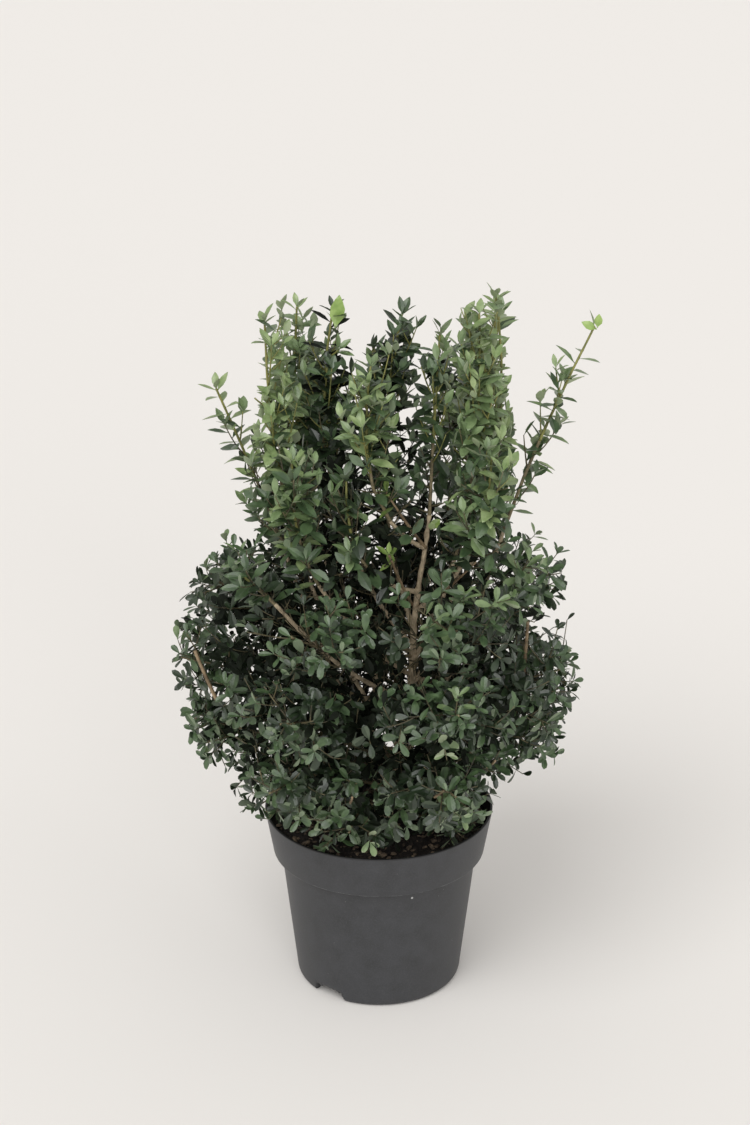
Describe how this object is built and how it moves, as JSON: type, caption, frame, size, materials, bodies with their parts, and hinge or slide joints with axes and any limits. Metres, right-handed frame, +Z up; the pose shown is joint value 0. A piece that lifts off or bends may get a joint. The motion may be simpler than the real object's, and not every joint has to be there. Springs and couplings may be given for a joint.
{
  "type": "potted japanese holly shrub",
  "caption": "Young upright shrub with small oval evergreen leaves, a leaning trunk and upright shoots over a round lower crown, in a round plastic nursery pot.",
  "frame": {"origin": "middle of the pot's flat underside", "axes": "+Z up along the pot's axis; the picture's viewer stands on the -Y side, with +X to the right"},
  "size_m": [0.4087, 0.3817, 0.7113],
  "materials": {
    "pot_plastic": "matte",
    "potting_soil": "matte",
    "bark": "matte",
    "leaf_green": "satin"
  },
  "bodies": {
    "root": {"back_left": "leaf_green", "back_right": "leaf_green", "belly_1": "leaf_green", "belly_2": "leaf_green", "belly_3": "leaf_green", "belly_4": "leaf_green", "belly_5": "leaf_green", "belly_6": "leaf_green", "belly_7": "leaf_green", "bough_back_left": "bark", "bough_back_right": "bark", "bough_front_inner": "bark", "bough_front_left": "bark", "bough_front_middle": "bark", "bough_front_right": "bark", "bough_front_shoulder": "bark", "bough_left_crest": "bark", "bough_left_spray": "bark", "bough_left_tower_back": "bark", "bough_left_tower_front": "bark", "bough_middle": "bark", "bough_right_edge": "bark", "bough_right_spray": "bark", "bough_right_tower_back": "bark", "bough_right_tower_front": "bark", "front_inner": "leaf_green", "front_left": "leaf_green", "front_middle": "leaf_green", "front_right": "leaf_green", "front_shoulder": "leaf_green", "hem_1": "leaf_green", "hem_2": "leaf_green", "hem_3": "leaf_green", "hem_4": "leaf_green", "hem_5": "leaf_green", "hem_6": "leaf_green", "leader": "leaf_green", "left_crest": "leaf_green", "left_spray": "leaf_green", "left_tower_back": "leaf_green", "left_tower_front": "leaf_green", "middle": "leaf_green", "pot": "pot_plastic", "right_edge": "leaf_green", "right_spray": "leaf_green", "right_tower_back": "leaf_green", "right_tower_front": "leaf_green", "shoulder_1": "leaf_green", "shoulder_2": "leaf_green", "shoulder_3": "leaf_green", "shoulder_4": "leaf_green", "shoulder_5": "leaf_green", "shoulder_6": "leaf_green", "skirt_1": "leaf_green", "skirt_2": "leaf_green", "skirt_3": "leaf_green", "skirt_4": "leaf_green", "skirt_5": "leaf_green", "soil": "potting_soil", "trunk": "bark"}
  },
  "joints": []
}
